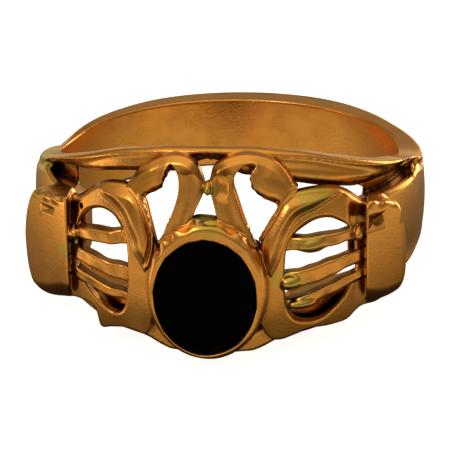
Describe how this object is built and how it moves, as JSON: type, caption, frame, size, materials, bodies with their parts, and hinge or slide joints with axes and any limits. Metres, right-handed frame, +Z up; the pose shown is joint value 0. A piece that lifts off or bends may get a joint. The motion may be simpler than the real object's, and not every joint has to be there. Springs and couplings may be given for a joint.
{
  "type": "openwork ring",
  "caption": "Openwork finger ring of gold with a split band, fanned bars, leaf scrolls and loops round an oval black cabochon.",
  "frame": {"origin": "middle of the ring's footprint, on the surface that it lies on", "axes": "+Z up from that surface, -Y toward the front with the stone, +X to the viewer's right; the finger hole's axis leans back 9.2 degrees from +Z"},
  "size_m": [0.0202, 0.0232, 0.01],
  "materials": {
    "gold": "polished",
    "stone": "polished"
  },
  "bodies": {
    "root": {"ring_body": "gold", "black_stone": "stone"}
  },
  "joints": []
}
